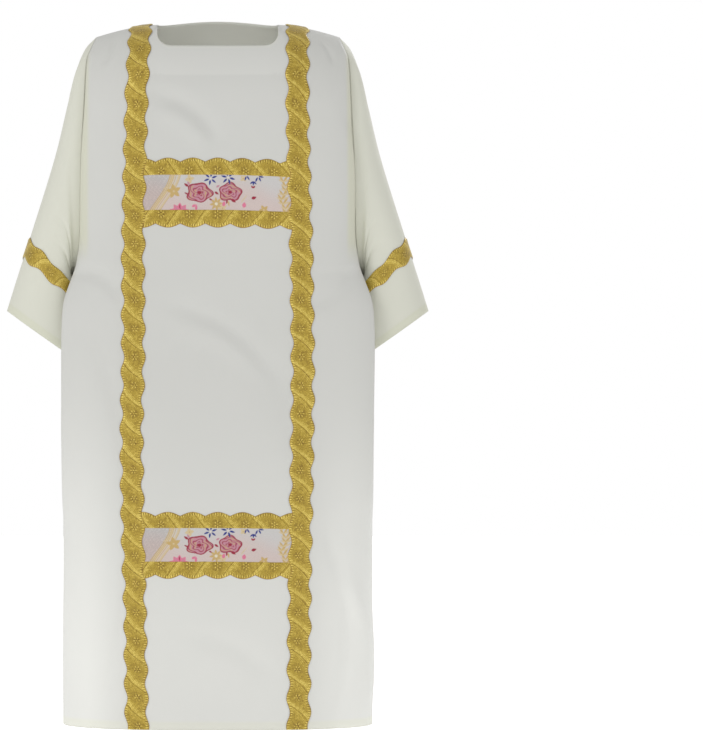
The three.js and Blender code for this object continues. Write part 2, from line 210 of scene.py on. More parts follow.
# how far the creases move the cloth along its normal
def creaseLift(side, x, fall, strength=1.7):
    lift = np.zeros_like(x)
    for c in (frontCreases if side < 0 else backCreases):
        ax, af = c["x1"] - c["x0"], c["f1"] - c["f0"]
        length = math.hypot(ax, af)
        t = ((x - c["x0"]) * ax + (fall - c["f0"]) * af) / length ** 2
        across = ((x - c["x0"]) * af - (fall - c["f0"]) * ax) / length
        bow = 0.10 * length * np.sin(np.clip(t, 0, 1) * math.pi)      # creases bow a little
        fade = ease((t + 0.15) / 0.4) * ease((1.15 - t) / 0.4)
        lift -= strength * c["deep"] * np.exp(-((across - bow) / c["wide"]) ** 2) * fade
    slow = np.sin(x * 19 + fall * 5 + side) * np.sin(fall * 11 + x * 7) * 0.0012
    return lift + slow * ease(fall / 0.1)


def panelSpot(side, turn, down, lift=0.0):
    turn, down = np.asarray(turn, float), np.asarray(down, float)
    t = np.clip(turn, -quarter + 0.02, quarter - 0.02)
    d = np.maximum(down, 0.003)
    across = panelPoint(side, t + 0.01, d) - panelPoint(side, t - 0.01, d)
    along = panelPoint(side, t, d + 0.001) - panelPoint(side, t, d - 0.001)
    normal = unit(np.cross(across, along)) * side
    point = panelPoint(side, turn, down)
    fold = creaseLift(side, point[..., 0], fallAt(down))
    fold = fold * ease((quarter - np.abs(turn)) / 0.12)      # the seams lie still
    return point + normal * (fold + lift)[..., None]


def sleevePoint(hand, angle, along):
    n = armhole["square"]
    size = (np.abs(np.cos(angle)) ** n + np.abs(np.sin(angle)) ** n) ** (-1 / n)
    c = np.cos(angle) * size
    share = (1 + c) / 2
    get = {k: readTable(sleeveRings, "along", k, along) for k in ("topX", "topZ", "underX", "underZ", "depth")}
    first = sleeveRings[0]
    edge = panelPoint(-1, np.full_like(angle, quarter), downAt(armhole["fall"] * (1 - c) / 2))
    seam = (1 - along) ** 3
    bowX = edge[..., 0] - (first["underX"] + (first["topX"] - first["underX"]) * share)
    bowZ = edge[..., 2] - (first["underZ"] + (first["topZ"] - first["underZ"]) * share)
    x = get["underX"] + (get["topX"] - get["underX"]) * share + (bowX + 0.0006) * seam
    z = get["underZ"] + (get["topZ"] - get["underZ"]) * share + bowZ * seam
    return np.stack([hand * x, -get["depth"] * np.sin(angle) * size, z], axis=-1)


def sleeveSpot(hand, angle, along, lift=0.0):
    a = np.clip(along, 0.012, 0.99)
    around = sleevePoint(hand, angle + 0.02, a) - sleevePoint(hand, angle - 0.02, a)
    down = sleevePoint(hand, angle, a + 0.01) - sleevePoint(hand, angle, a - 0.01)
    normal = unit(np.cross(down, around)) * -hand
    # curved drag lines from the underarm, and a soft hollow along the front
    c = np.cos(angle)
    drag = -0.0016 * np.exp(-((along - 0.62 - 0.22 * c) / 0.035) ** 2)
    drag += -0.0014 * np.exp(-((along - 0.46 - 0.30 * c) / 0.03) ** 2)
    drag = drag * ease((0.5 - c) / 0.8) * ease(along / 0.15)
    slow = 0.0012 * np.sin(angle * 3 + along * 9) * ease(along / 0.3)
    return sleevePoint(hand, angle, along) + normal * (drag + slow + lift)[..., None]


# materials

def shader(name, rough, metal=0.0, sheen=0.0, sheenRough=0.4):
    material = bpy.data.materials.new(name)
    material.use_nodes = True
    nodes, links = material.node_tree.nodes, material.node_tree.links
    principled = nodes["Principled BSDF"]
    principled.inputs["Roughness"].default_value = rough
    principled.inputs["Metallic"].default_value = metal
    principled.inputs["Sheen Weight"].default_value = sheen
    principled.inputs["Sheen Roughness"].default_value = sheenRough
    return material, nodes, links, principled


def scaledUv(nodes, links, scale):
    uv = nodes.new("ShaderNodeUVMap")
    uv.uv_map = "cloth"
    mapping = nodes.new("ShaderNodeMapping")
    mapping.inputs["Scale"].default_value = scale
    links.new(uv.outputs["UV"], mapping.inputs["Vector"])
    return mapping.outputs["Vector"]


def mixColours(nodes, links, factor, first, second):
    mix = nodes.new("ShaderNodeMix")
    mix.data_type = "RGBA"
    mix.inputs["A"].default_value = first
    mix.inputs["B"].default_value = second
    links.new(factor, mix.inputs["Factor"])
    return mix.outputs["Result"]


# a plain weave: warp and weft at right angles, with slubs, on the cloth's own lengths
def weaveBump(nodes, links, principled, pitch, strength, slub=0.0):
    vector = scaledUv(nodes, links, (1, 1, 1))
    height = None
    for turn in ("X", "Y"):
        wave = nodes.new("ShaderNodeTexWave")
        wave.bands_direction = turn
        wave.inputs["Scale"].default_value = 0.31 / pitch
        wave.inputs["Distortion"].default_value = slub
        wave.inputs["Detail"].default_value = 1
        links.new(vector, wave.inputs["Vector"])
        if height is None:
            height = wave.outputs["Fac"]
        else:
            add = nodes.new("ShaderNodeMath")
            add.operation = "ADD"
            links.new(height, add.inputs[0])
            links.new(wave.outputs["Fac"], add.inputs[1])
            height = add.outputs[0]
    bump = nodes.new("ShaderNodeBump")
    bump.inputs["Strength"].default_value = strength
    bump.inputs["Distance"].default_value = pitch
    links.new(height, bump.inputs["Height"])
    links.new(bump.outputs["Normal"], principled.inputs["Normal"])
    return height


def clothMaterial(name, pale, shade, sheen):
    material, nodes, links, principled = shader(name, 0.62, sheen=sheen)
    weaveBump(nodes, links, principled, 0.0007, 0.16, 1.2)
    noise = nodes.new("ShaderNodeTexNoise")
    noise.inputs["Scale"].default_value = 3.2
    noise.inputs["Detail"].default_value = 4
    links.new(scaledUv(nodes, links, (1, 1, 1)), noise.inputs["Vector"])
    base = mixColours(nodes, links, noise.outputs["Fac"], shade, pale)
    tint = nodes.new("ShaderNodeVertexColor")
    tint.layer_name = "tint"
    blend = nodes.new("ShaderNodeMix")
    blend.data_type = "RGBA"
    blend.blend_type = "MULTIPLY"
    blend.inputs["Factor"].default_value = 1
    links.new(base, blend.inputs["A"])
    links.new(tint.outputs["Color"], blend.inputs["B"])
    links.new(blend.outputs["Result"], principled.inputs["Base Color"])
    return material


def threadMaterial(name, rough, pitch, strength):
    material, nodes, links, principled = shader(name, rough, sheen=0.1)
    weaveBump(nodes, links, principled, pitch, strength, 0.6)
    tint = nodes.new("ShaderNodeVertexColor")
    tint.layer_name = "tint"
    noise = nodes.new("ShaderNodeTexNoise")
    noise.inputs["Scale"].default_value = 700
    noise.inputs["Detail"].default_value = 2
    links.new(scaledUv(nodes, links, (1, 1, 1)), noise.inputs["Vector"])
    fleck = mixColours(nodes, links, noise.outputs["Fac"], (0.62, 0.62, 0.62, 1), (1.38, 1.38, 1.38, 1))
    blend = nodes.new("ShaderNodeMix")
    blend.data_type = "RGBA"
    blend.blend_type = "MULTIPLY"
    blend.inputs["Factor"].default_value = 0.45
    links.new(tint.outputs["Color"], blend.inputs["A"])
    links.new(fleck, blend.inputs["B"])
    links.new(blend.outputs["Result"], principled.inputs["Base Color"])
    return material


ivoryCloth = clothMaterial("ivoryCloth", (0.80, 0.80, 0.76, 1), (0.755, 0.757, 0.72, 1), 0.12)
sleeveCloth = clothMaterial("sleeveCloth", (0.75, 0.75, 0.655, 1), (0.715, 0.72, 0.62, 1), 0.12)
facingCloth = clothMaterial("facingCloth", (0.80, 0.80, 0.74, 1), (0.76, 0.76, 0.69, 1), 0.05)


# one step of arithmetic on sockets or numbers
def calc(nodes, links, operation, *inputs):
    node = nodes.new("ShaderNodeMath")
    node.operation = operation
    for socket, value in zip(node.inputs, inputs):
        if isinstance(value, (int, float)):
            socket.default_value = value
        else:
            links.new(value, socket)
    return node.outputs[0]


# the braid's own lengths come as UV: metres across from its middle, metres along
braid = {"half": 0.0188, "wave": 0.050, "lean": 0.878, "strand": 0.0034, "ring": 0.0043, "dot": 0.0017,
         "bead": 0.0043, "beadLine": 0.0158, "dark": (0.20, 0.115, 0.014, 1), "gold": (0.50, 0.35, 0.044, 1),
         "pale": (0.88, 0.70, 0.17, 1), "rust": (0.25, 0.10, 0.025, 1)}


def braidMaterial(name):
    material, nodes, links, principled = shader(name, 0.38, 0.30, sheen=0.1)

    def do(operation, *inputs):
        return calc(nodes, links, operation, *inputs)

    def peak(value, width):      # 1 where the value is 0, fading over the width
        scaled = do("DIVIDE", value, width)
        return do("EXPONENT", do("MULTIPLY", do("MULTIPLY", scaled, scaled), -1.0))

    split = nodes.new("ShaderNodeSeparateXYZ")
    links.new(scaledUv(nodes, links, (1, 1, 1)), split.inputs[0])
    across, run = split.outputs["X"], split.outputs["Y"]
    aslant = do("ADD", run, do("MULTIPLY", across, braid["lean"]))
    leafPlace = do("SUBTRACT", do("FRACT", do("DIVIDE", aslant, braid["wave"])), 0.5)
    leaf = peak(leafPlace, 0.27)
    vein = peak(do("ADD", leafPlace, 0.04), 0.022)
    # a painted highlight beside the vein
    paintedHighlight = peak(do("SUBTRACT", leafPlace, 0.06), 0.09)
    strand = do("SINE", do("MULTIPLY", aslant, 2 * math.pi / braid["strand"]))

    near = do("MULTIPLY", do("SUBTRACT", do("FRACT", do("ADD", do("DIVIDE", run, braid["wave"]), 0.5)), 0.5),
              braid["wave"])
    far = do("SQRT", do("ADD", do("MULTIPLY", near, near), do("MULTIPLY", across, across)))
    spokes = do("COSINE", do("MULTIPLY", do("ARCTAN2", near, across), 6.0))
    ring = do("MULTIPLY", peak(do("SUBTRACT", far, braid["ring"]), braid["dot"]), do("MAXIMUM", spokes, 0.0))
    dots = do("ADD", ring, peak(far, 0.0012))
    # painted shade: darker in the hollow round each rosette's dots
    shadedWell = peak(far, 0.0075)

    side = do("ABSOLUTE", across)
    rim = peak(do("SUBTRACT", side, braid["beadLine"]), 0.0022)
    beads = do("SINE", do("ADD", do("MULTIPLY", run, 2 * math.pi / braid["bead"]), do("SIGN", across)))
    outline = do("SMOOTH_MIN", do("MAXIMUM", do("DIVIDE", do("SUBTRACT", side, 0.0170), 0.0018), 0.0), 1.0, 0.2)

    flecks = nodes.new("ShaderNodeTexNoise")
    flecks.inputs["Scale"].default_value = 620
    flecks.inputs["Detail"].default_value = 3
    links.new(scaledUv(nodes, links, (1, 1, 1)), flecks.inputs["Vector"])
    scrolls = nodes.new("ShaderNodeTexNoise")
    scrolls.inputs["Scale"].default_value = 210
    scrolls.inputs["Distortion"].default_value = 1.5
    links.new(scaledUv(nodes, links, (1, 1, 1)), scrolls.inputs["Vector"])

    level = 0.40
    for value, share in ((do("MULTIPLY", strand, leaf), 0.10), (leaf, 0.10), (vein, -0.34), (paintedHighlight, 0.16),
                         (dots, 0.62), (shadedWell, -0.26), (do("MULTIPLY", do("MULTIPLY", beads, rim), scrolls.outputs["Fac"]), 0.66), (rim, 0.06),
                         (do("SUBTRACT", flecks.outputs["Fac"], 0.5), 0.75),
                         (do("SUBTRACT", scrolls.outputs["Fac"], 0.5), 0.85)):
        level = do("ADD", level, do("MULTIPLY", value, share))
    # the ramp colours the braid by the same level that raises its relief, so over its woven pattern and random
    # flecks it is also painted: darker as painted shade where the relief is low, paler as painted highlight where
    # it is raised
    ramp = nodes.new("ShaderNodeValToRGB")
    ramp.color_ramp.elements[0].position = 0.05
    ramp.color_ramp.elements[0].color = braid["dark"]
    ramp.color_ramp.elements[1].position = 0.92
    ramp.color_ramp.elements[1].color = braid["pale"]
    ramp.color_ramp.elements.new(0.46).color = braid["gold"]
    links.new(level, ramp.inputs["Fac"])
    edged = nodes.new("ShaderNodeMix")
    edged.data_type = "RGBA"
    edged.inputs["B"].default_value = braid["rust"]
    links.new(do("MULTIPLY", outline, 0.62), edged.inputs["Factor"])
    links.new(ramp.outputs["Color"], edged.inputs["A"])
    links.new(edged.outputs["Result"], principled.inputs["Base Color"])
    bump = nodes.new("ShaderNodeBump")
    bump.inputs["Strength"].default_value = 0.55
    bump.inputs["Distance"].default_value = 0.0007
    links.new(level, bump.inputs["Height"])
    links.new(bump.outputs["Normal"], principled.inputs["Normal"])
    return material


galloonBraid = braidMaterial("galloonBraid")
brocadeCloth = threadMaterial("brocadeCloth", 0.5, 0.0006, 0.35)


# pieces as grids of cloth

# shape(u, v) gives points, lengths across and down for the weave, and a tint, all from 0..1
def clothGrid(name, columns, rows, shape, material, nodes, ring=False, thick=0.0):
    bm = bmesh.new()
    bmesh.ops.create_grid(bm, x_segments=columns, y_segments=rows, size=0.5)
    bm.verts.ensure_lookup_table()
    places = np.array([v.co[:] for v in bm.verts])
    u, v = places[:, 0] + 0.5, 0.5 - places[:, 1]
    points, weave, tint = shape(u, v)
    uvLayer = bm.loops.layers.uv.new("cloth")
    tintLayer = bm.loops.layers.float_color.new("tint")
    for vert in bm.verts:
        vert.co = points[vert.index]
    for face in bm.faces:
        face.smooth = True
        for loop in face.loops:
            i = loop.vert.index
            loop[uvLayer].uv = weave[i]
            loop[tintLayer] = (*tint[i], 1)
    if ring:
        bmesh.ops.remove_doubles(bm, verts=bm.verts, dist=0.00002)
    bm.normal_update()      # every piece stands round the middle, so its faces point away from y = 0
    outward = sum(face.normal.y * face.calc_center_median().y for face in bm.faces)
    if outward < 0:
        bmesh.ops.reverse_faces(bm, faces=bm.faces)
    mesh = bpy.data.meshes.new(name)
    bm.to_mesh(mesh)
    bm.free()
    piece = bpy.data.objects.new(name, mesh)
    bpy.context.scene.collection.objects.link(piece)
    mesh.materials.append(material)
    if thick:
        solidify = piece.modifiers.new("thickness", "SOLIDIFY")
        solidify.thickness = thick
        solidify.offset = -1
    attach(piece, "root")
    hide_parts(*nodes)
    return piece


def plain(count, colour=(1, 1, 1)):
    return np.tile(np.array(colour, float), (count, 1))


# front and back panels

panel = {"columns": 120, "rows": 220, "thick": 0.0015, "fanEnd": 0.331, "facingDepth": 0.098,
         "hem": 0.014}


def topEdge(side, q):
    q = np.abs(q)      # 1 at the armhole, 0 in the middle
    onShoulder = q > 0.6
    x = np.where(onShoulder, neck["half"] + (shoulder["half"] - neck["half"]) * (q - 0.6) / 0.4, 0)
    u = np.clip(q / 0.6, 0, 1)
    if side > 0:
        napeFall = roll["fall"] * (1 - math.sqrt(1 - neck["napeReach"] ** 2))
        return np.where(onShoulder, x, neck["half"] * u), np.where(onShoulder, 0, napeFall * (1 - u * u))
    straight = neck["frontDrop"] - neck["corner"]
    arc = quarter * neck["corner"]
    flat = neck["half"] - neck["corner"]
    run = (1 - u) * (straight + arc + flat)
    bend = np.clip((run - straight) / neck["corner"], 0, quarter)
    neckX = neck["half"] - neck["corner"] * (1 - np.cos(bend)) - np.maximum(run - straight - arc, 0)
    fall = np.minimum(run, straight) + neck["corner"] * np.sin(bend)
    return np.where(onShoulder, x, neckX), np.where(onShoulder, 0, fall)


def panelShape(side):
    def shape(u, v):
        q = 2 * u - 1
        topX, topFall = topEdge(side, q)
        topDown = downAt(topFall)
        fanEnd = float(downAt(panel["fanEnd"]))
        end = float(downAt(hemFall))
        rowDown = end * v
        down = np.where(rowDown < fanEnd, topDown + rowDown * (1 - topDown / fanEnd), rowDown)
        fan = ease(rowDown / fanEnd)
        turn = np.abs(turnAt(topX, topDown)) * (1 - fan) + quarter * np.abs(q) * fan
        turn = np.where(np.abs(q) > 0.9999, quarter, turn) * np.sign(q)
        points = panelSpot(side, turn, down)
        x, fall = points[:, 0], fallAt(down)
        # painted light: lighter towards the hem, where light bounces up from below, and towards the sides, where
        # the light wraps round; and a little lighter where the facing backs it
        low = 0.14 * ease((fall - 0.62) / 0.55) + 0.16 * ease((np.abs(x) - 0.15) / 0.09) * ease((fall - 0.5) / 0.6)
        tint = plain(len(u)) * (0.855 + low)[:, None]
        inner = (np.abs(x) < 0.125) & (fall < panel["facingDepth"])
        tint[inner] *= 1.06
        seam = ease((np.abs(x) - 0.226) / 0.008) * ease((0.44 - fall) / 0.06) * ease(fall / 0.04)
        tint *= 1 - seam[:, None] * np.array([-0.02, -0.02, 0.12])
        # painted highlight: lighter along the neckline, where the facing rolls the edge over
        rim = (np.abs(q) < 0.6) * ease(1 - rowDown / 0.012)
        tint *= 1 + rim[:, None] * np.array([0.07, 0.07, 0.03])
        fromHem = hemFall - fall
        tint *= 1 - ease((panel["hem"] + 0.001 - fromHem) / 0.003)[:, None] * np.array([-0.01, -0.01, 0.05])
        stitch = np.exp(-((fromHem - panel["hem"]) / 0.0012) ** 2)
        tint *= (1 - 0.04 * stitch)[:, None]
        weave = np.stack([turn * 0.27, down], axis=-1)
        return points, weave, tint
    return shape


for sideName, side in sides:
    piece = clothGrid(sideName + "Panel", panel["columns"], panel["rows"], panelShape(side),
                      ivoryCloth, [sideName + "_panel"], thick=panel["thick"])
print("panels done")


# neck facings, inside

def facingShape(side):
    def shape(u, v):
        q = (2 * u - 1) * 0.74
        topX, topFall = topEdge(side, q)
        topDown = downAt(topFall)
        low = float(downAt(panel["facingDepth"] if side < 0 else 0.062))
        edge = low * ease((1 - np.abs(q) / 0.74) * 3.2 + 0.35)
        down = topDown + np.maximum(edge - topDown, 0.012) * v
        turn = turnAt(topX, topDown) * np.sign(q)
        points = panelSpot(side, turn, down, -0.0022)
        return points, np.stack([turn * 0.27, down], axis=-1), plain(len(u))
    return shape


for sideName, side in sides:
    piece = clothGrid(sideName + "Facing", 90, 14, facingShape(side), facingCloth,
                      ["neck_facing_" + sideName], thick=0.0008)


# sleeves

sleeve = {"around": 110, "rows": 120, "thick": 0.0012, "cuffHem": 0.015}


def sleeveShape(hand):
    def shape(u, v):
        angle = u * 2 * math.pi
        points = sleeveSpot(hand, angle, v)
        tint = plain(len(u))
        fromCuff = (1 - v) * sleeveLength
        tint *= 1 - ease((sleeve["cuffHem"] + 0.002 - fromCuff) / 0.004)[:, None] * np.array([0.03, 0.025, 0.08])
        stitch = np.exp(-((fromCuff - sleeve["cuffHem"]) / 0.0016) ** 2)
        tint *= (1 - 0.05 * stitch)[:, None]
        return points, np.stack([u * 0.6, v * sleeveLength], axis=-1), tint
    return shape


for handName, hand in hands:
    piece = clothGrid(handName + "Sleeve", sleeve["around"], sleeve["rows"], sleeveShape(hand),
                      sleeveCloth, ["sleeve_" + handName], ring=True, thick=sleeve["thick"])
print("sleeves done")


# gold galloon

galloon = {"half": braid["half"], "wave": braid["wave"], "sway": 0.0031, "under": 0.0011, "thick": 0.0013}
clavusLine = [
    dict(fall=0.000, left=0.138, right=0.143), dict(fall=0.150, left=0.144, right=0.141),
    dict(fall=0.400, left=0.149, right=0.147), dict(fall=0.600, left=0.149, right=0.150),
    dict(fall=0.740, left=0.152, right=0.149), dict(fall=1.020, left=0.147, right=0.144),
    dict(fall=hemFall, left=0.142, right=0.142),
]
swayPeak = 0.574


# the woven relief: a satin leaf lying aslant, a rosette between each two, and a corded rim
def braidRelief(across, run, wave):
    t = run / wave
    place = np.mod(t + across * braid["lean"] * galloon["half"] / wave, 1) - 0.5
    leaf = np.exp(-(place / 0.22) ** 2) - 0.8 * np.exp(-((place + 0.04) / 0.05) ** 2)
    near = (np.mod(t + 0.5, 1) - 0.5) * wave
    rosette = np.exp(-((near ** 2 + (across * galloon["half"]) ** 2) / 0.0065 ** 2))
    rim = np.exp(-((np.abs(across) - 0.86) / 0.12) ** 2)
    return 0.7 * leaf * (1 - rim) + 0.8 * rosette + rim * (0.5 + 0.3 * np.sin(run * 1500 + np.sign(across)))


def braidLift(across, height, under):
    edge = ease((1 - np.abs(across)) / 0.16)
    return under + galloon["thick"] * edge + height * 0.0004 * edge


def clavusMiddle(hand, down):
    return readTable(clavusLine, "fall", "left" if hand < 0 else "right", fallAt(down))


def bySide(signedDown, place):
    front = place(-1, np.abs(signedDown))
    back = place(1, np.abs(signedDown))
    return np.where((signedDown < 0)[:, None], front, back)


def clavusShape(hand):
    def shape(u, v):
        end = float(downAt(hemFall)) - 0.001
        signed = (2 * v - 1) * end
        down = np.abs(signed)
        across = 2 * u - 1
        phase = 2 * math.pi * (down - float(downAt(swayPeak))) / galloon["wave"]
        picot = 0.0005 * np.sin(2 * math.pi * signed / 0.004) * np.abs(across) ** 6
        x = hand * (clavusMiddle(hand, down) + galloon["sway"] * np.cos(phase))
        x = x + across * (galloon["half"] + picot)
        run = signed + 0.012
        lift = braidLift(across, braidRelief(across, run, galloon["wave"]), galloon["under"])
        points = bySide(signed, lambda side, d: panelSpot(side, turnAt(x, d), d, lift))
        return points, np.stack([across * galloon["half"], run], axis=-1), plain(len(u))
    return shape


for handName, hand in hands:
    piece = clothGrid(handName + "Clavus", 26, 1400, clavusShape(hand), galloonBraid,
                      ["clavus_" + handName])
print("clavi done")

sleeveBand = {"upper": 0.738, "lower": 0.810, "waves": 8}


def sleeveBandShape(hand):
    def shape(u, v):
        angle = u * 2 * math.pi
        middle = (sleeveBand["upper"] + sleeveBand["lower"]) / 2
        across = 2 * v - 1
        sway = galloon["sway"] / sleeveLength * np.cos(2 * math.pi * sleeveBand["waves"] * u)
        along = middle + sway + across * (sleeveBand["lower"] - sleeveBand["upper"]) / 2
        run = u * sleeveBand["waves"] * galloon["wave"]
        lift = braidLift(across, braidRelief(across, run, galloon["wave"]), 0.0007)
        points = sleeveSpot(hand, angle, along, lift)
        return points, np.stack([across * galloon["half"], run], axis=-1), plain(len(u))
    return shape


for handName, hand in hands:
    piece = clothGrid(handName + "SleeveBand", 440, 24, sleeveBandShape(hand), galloonBraid,
                      ["sleeve_band_" + handName], ring=True)


# crossbars

bars = [
    dict(name="upper", top=0.249, brocadeTop=0.275, brocadeBottom=0.340, bottom=0.367, droop=0.004),
    dict(name="lower", top=0.874, brocadeTop=0.898, brocadeBottom=0.960, bottom=0.986, droop=0.002),
]
scallop = {"wave": 0.044, "sway": 0.0070}


# x runs from under one clavus to under the other
def barX(u, down):
    left = -clavusMiddle(-1, down) + galloon["half"] * 0.7
    right = clavusMiddle(1, down) - galloon["half"] * 0.7
    return left + (right - left) * u


# pressed down where it goes under the clavi
def tucked(u):
    return ease(np.minimum(u, 1 - u) / 0.035)


def barGalloonShape(side, bar, upper):
    inner = bar["brocadeTop"] + 0.002 if upper else bar["brocadeBottom"] - 0.002
    outer = bar["top"] if upper else bar["bottom"]
    def shape(u, v):
        share = v if upper else 1 - v      # 0 on the scalloped edge
        x = barX(u, downAt(np.full_like(u, inner)))
        sway = scallop["sway"] * (np.abs(np.cos(math.pi * x / scallop["wave"])) - 0.6)
        fall = outer + (inner - outer) * share - (1 if upper else -1) * sway * (1 - share)
        fall = fall + bar["droop"] * ease(x / 0.16)
        across = 1 - share * 1.35
        edge = ease(share / 0.12) * ease((1 - share) / 0.06) * tucked(u)
        lift = 0.0004 + (0.0012 + 0.0004 * braidRelief(across, x, scallop["wave"])) * edge
        down = downAt(fall)
        points = panelSpot(side, turnAt(x, down), down, lift)
        return points, np.stack([across * galloon["half"], x], axis=-1), plain(len(u))
    return shape


# the brocade's flowers

ground = {"pink": (0.69, 0.575, 0.54), "blue": (0.655, 0.635, 0.62)}
inks = {"crimson": (0.34, 0.010, 0.040), "mauve": (0.58, 0.27, 0.34), "pink": (0.76, 0.20, 0.32),
        "blue": (0.010, 0.026, 0.24), "gold": (0.62, 0.43, 0.16), "paleGold": (0.70, 0.56, 0.33),
        "cream": (0.82, 0.76, 0.60), "brown": (0.40, 0.24, 0.10)}


def lay(tint, height, ink, cover, raised=0.4):
    cover = np.clip(cover, 0, 1)
    tint[:] = tint * (1 - cover[:, None]) + np.array(inks[ink]) * cover[:, None]
    height[:] = np.maximum(height, cover * raised)


def blob(distance, soft=0.0003):
    return ease(0.5 - distance / (2 * soft))


# a petal grows from (cx, cy) along its turn
def petal(x, y, cx, cy, turn, length, width):
    along = ((x - cx) * math.cos(turn) + (y - cy) * math.sin(turn)) / length
    across = -(x - cx) * math.sin(turn) + (y - cy) * math.cos(turn)
    inside = np.clip(along, 0, 1)
    return np.abs(across) - width * np.sin(math.pi * inside ** 0.8) + np.where(inside != along, 1, 0)


def flower(tint, height, x, y, spot):
    for k in range(spot["petals"]):
        turn = spot["turn"] + 2 * math.pi * k / spot["petals"]
        cx = spot["x"] + spot["gap"] * math.cos(turn)
        cy = spot["y"] + spot["gap"] * math.sin(turn)
        lay(tint, height, spot["ink"], blob(petal(x, y, cx, cy, turn, spot["long"], spot["fat"])))
    lay(tint, height, spot["heart"], blob(np.hypot(x - spot["x"], y - spot["y"]) - spot["core"]))


# a full-blown rose: crimson, mauve and gold rounds of petals, waved and turning about its heart
def rose(tint, height, x, y, spot):
    dx, dy = (x - spot["x"]) / spot["wide"], (y - spot["y"]) / spot["tall"]
    r, turn = np.hypot(dx, dy), np.arctan2(dy, dx) + spot["turn"]
    outline = 1 + 0.09 * np.sin(5 * turn) + 0.06 * np.sin(3 * turn + 1)
    inside = blob((r - outline) * spot["tall"])
    rounds = np.mod(r * 3.1 + 0.42 * np.sin(2 * turn) + 0.30 * np.sin(5 * turn + r * 4) + turn / math.pi, 1)
    lay(tint, height, "mauve", inside, 0.5)
    lay(tint, height, "crimson", inside * np.exp(-((rounds - 0.22) / 0.15) ** 2), 0.8)
    gold = np.exp(-((rounds - 0.80) / 0.11) ** 2) * (np.sin(turn * 2 + 0.8) > -0.3)
    lay(tint, height, "gold", inside * gold, 0.8)
    lay(tint, height, "crimson", inside * ease((r - outline + 0.13) / 0.06), 0.7)
    lay(tint, height, "crimson", blob((r - 0.17) * spot["tall"]), 0.8)


roses = [
    dict(x=-0.0310, y=-0.0005, wide=0.0225, tall=0.0172, turn=0.4),
    dict(x=0.0235, y=0.0005, wide=0.0200, tall=0.0162, turn=2.6),
]
flowers = [
    dict(x=-0.0760, y=0.0020, petals=5, turn=0.50, gap=0.0010, long=0.0125, fat=0.0036, ink="gold",
         heart="paleGold", core=0.0016),
    dict(x=-0.0480, y=0.0235, petals=4, turn=0.20, gap=0.0005, long=0.0080, fat=0.0030, ink="paleGold",
         heart="gold", core=0.0012),
    dict(x=0.0470, y=0.0250, petals=4, turn=0.70, gap=0.0005, long=0.0060, fat=0.0024, ink="paleGold",
         heart="gold", core=0.0010),
    dict(x=-0.0110, y=0.0245, petals=6, turn=0.35, gap=0.0026, long=0.0100, fat=0.0017, ink="blue",
         heart="cream", core=0.0013),
    dict(x=0.0200, y=0.0262, petals=6, turn=0.80, gap=0.0026, long=0.0105, fat=0.0018, ink="blue",
         heart="cream", core=0.0013),
    dict(x=-0.0010, y=-0.0205, petals=8, turn=0.10, gap=0.0020, long=0.0105, fat=0.0022, ink="gold",
         heart="cream", core=0.0026),
    dict(x=0.0100, y=-0.0280, petals=5, turn=0.60, gap=0.0010, long=0.0080, fat=0.0022, ink="paleGold",
         heart="gold", core=0.0012),
    dict(x=0.0830, y=-0.0290, petals=5, turn=0.80, gap=0.0008, long=0.0085, fat=0.0026, ink="gold",
         heart="paleGold", core=0.0012),
]
# single leaves, buds and sprays: where each grows from, its turn, length and half width
leaves = [
    dict(ink="crimson", x=-0.0500, y=0.0100, turn=2.50, long=0.0100, fat=0.0022),
    dict(ink="mauve", x=-0.0480, y=0.0125, turn=2.10, long=0.0085, fat=0.0018),
    dict(ink="crimson", x=-0.0500, y=-0.0040, turn=2.70, long=0.0085, fat=0.0014),
    dict(ink="crimson", x=-0.0140, y=-0.0110, turn=-0.50, long=0.0070, fat=0.0014),
    dict(ink="crimson", x=-0.0040, y=0.0010, turn=-0.60, long=0.0090, fat=0.0020),
    dict(ink="mauve", x=-0.0010, y=0.0090, turn=0.50, long=0.0070, fat=0.0018),
    dict(ink="crimson", x=0.0250, y=-0.0120, turn=-0.55, long=0.0100, fat=0.0026),
    dict(ink="crimson", x=0.0180, y=-0.0130, turn=-1.70, long=0.0080, fat=0.0016),
    dict(ink="gold", x=0.0200, y=-0.0150, turn=-1.40, long=0.0100, fat=0.0016),
    dict(ink="blue", x=0.0520, y=0.0290, turn=-1.90, long=0.0090, fat=0.0014),
    dict(ink="blue", x=0.0530, y=0.0300, turn=-1.00, long=0.0095, fat=0.0014),
    dict(ink="blue", x=0.0640, y=0.0205, turn=-2.40, long=0.0075, fat=0.0014),
    dict(ink="blue", x=0.0645, y=0.0210, turn=-1.60, long=0.0085, fat=0.0014),
    dict(ink="blue", x=0.0650, y=0.0205, turn=-0.80, long=0.0075, fat=0.0014),
    dict(ink="blue", x=0.0720, y=0.0280, turn=-2.00, long=0.0100, fat=0.0015),
    dict(ink="blue", x=0.0740, y=0.0285, turn=-1.10, long=0.0090, fat=0.0015),
    dict(ink="blue", x=0.0740, y=0.0300, turn=-0.20, long=0.0095, fat=0.0015),
    dict(ink="crimson", x=0.0640, y=0.0085, turn=0.90, long=0.0060, fat=0.0015),
    dict(ink="crimson", x=0.0640, y=0.0085, turn=2.20, long=0.0060, fat=0.0015),
    dict(ink="crimson", x=0.0610, y=-0.0100, turn=0.35, long=0.0095, fat=0.0028),
    dict(ink="pink", x=-0.0440, y=-0.0260, turn=0.60, long=0.0085, fat=0.0024),
    dict(ink="pink", x=-0.0370, y=-0.0320, turn=1.50, long=0.0110, fat=0.0022),
    dict(ink="pink", x=0.0110, y=-0.0250, turn=1.30, long=0.0100, fat=0.0030),
    dict(ink="pink", x=0.0475, y=-0.0265, turn=1.45, long=0.0100, fat=0.0036),
    dict(ink="paleGold", x=0.0420, y=-0.0180, turn=0.90, long=0.0190, fat=0.0009),
    dict(ink="paleGold", x=-0.0960, y=0.0060, turn=0.30, long=0.0150, fat=0.0009),
]


